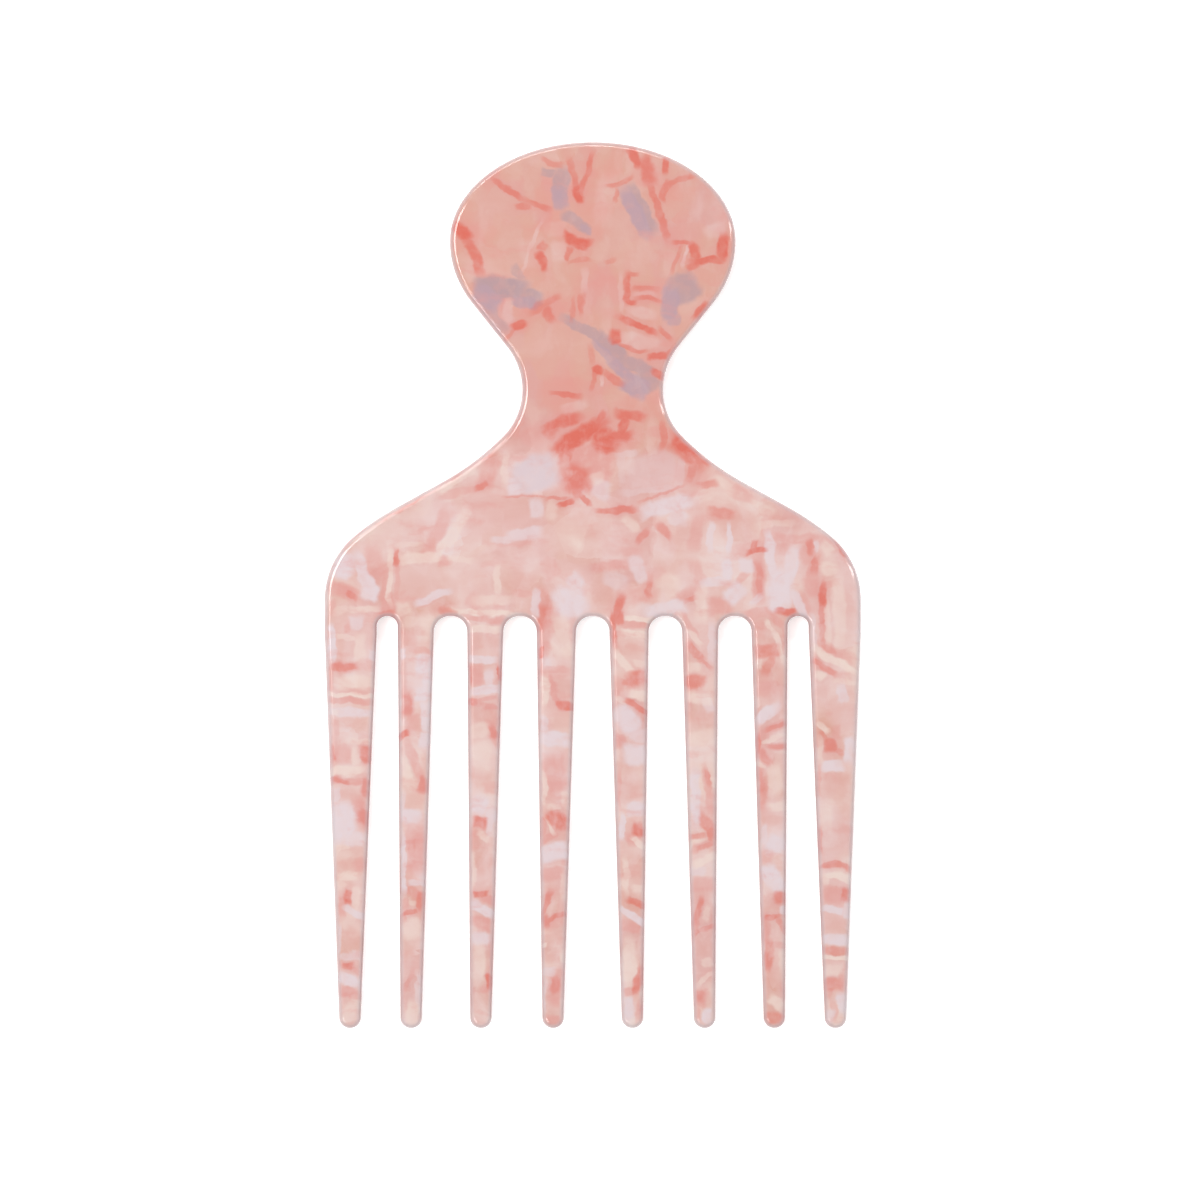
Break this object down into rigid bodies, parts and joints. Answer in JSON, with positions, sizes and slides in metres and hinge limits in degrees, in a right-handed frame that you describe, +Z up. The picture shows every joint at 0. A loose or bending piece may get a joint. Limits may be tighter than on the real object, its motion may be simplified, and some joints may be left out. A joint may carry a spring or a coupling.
{
  "type": "wide-toothed pick comb",
  "caption": "Flat pick comb with long round-tipped teeth, curved shoulders, a narrow waist and an oval grip, cut from one sheet of marbled acetate.",
  "frame": {"origin": "centre of the comb's footprint, on the face that it lies on", "axes": "+Z up, out of the front face; +Y along the comb from the teeth's tips to the grip's crown; +X across the teeth, to the right as seen from the front"},
  "size_m": [0.0878, 0.145, 0.004],
  "materials": {
    "marbled_acetate": "polished cellulose acetate sheet, pearly pink with lilac chips and coral veins"
  },
  "bodies": {
    "root": {"grip_head": "marbled_acetate", "shoulder_plate": "marbled_acetate", "tooth_left_1": "marbled_acetate", "tooth_left_2": "marbled_acetate", "tooth_left_3": "marbled_acetate", "guard_tooth_left": "marbled_acetate", "tooth_right_1": "marbled_acetate", "tooth_right_2": "marbled_acetate", "tooth_right_3": "marbled_acetate", "guard_tooth_right": "marbled_acetate"}
  },
  "joints": []
}
